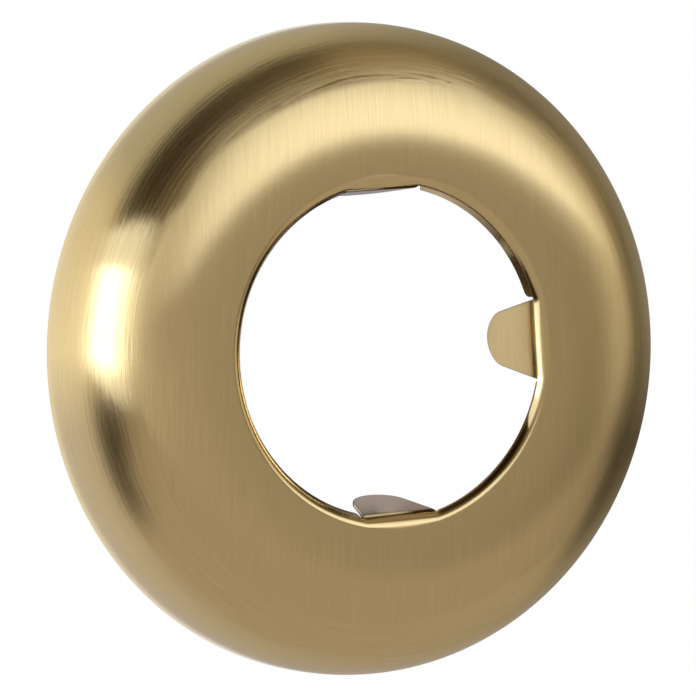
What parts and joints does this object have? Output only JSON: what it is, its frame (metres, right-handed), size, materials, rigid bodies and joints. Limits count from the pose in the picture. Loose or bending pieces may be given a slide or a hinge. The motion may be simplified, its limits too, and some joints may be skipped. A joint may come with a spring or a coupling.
{
  "type": "pipe rosette",
  "caption": "Domed brass cover ring for a pipe that enters a wall, pressed from one sheet, with spring tongues bent in round its hole.",
  "frame": {"origin": "centre of the rim, in the plane of the wall that the rim stands on", "axes": "+Z along the pipe, away from the wall and towards the room; +X close to the first tongue, +Y up as in the picture"},
  "size_m": [0.07, 0.07, 0.0116],
  "materials": {
    "brushed_brass": "fine brushed, clear lacquered"
  },
  "bodies": {
    "root": {"rosette_shell": "brushed_brass"}
  },
  "joints": []
}
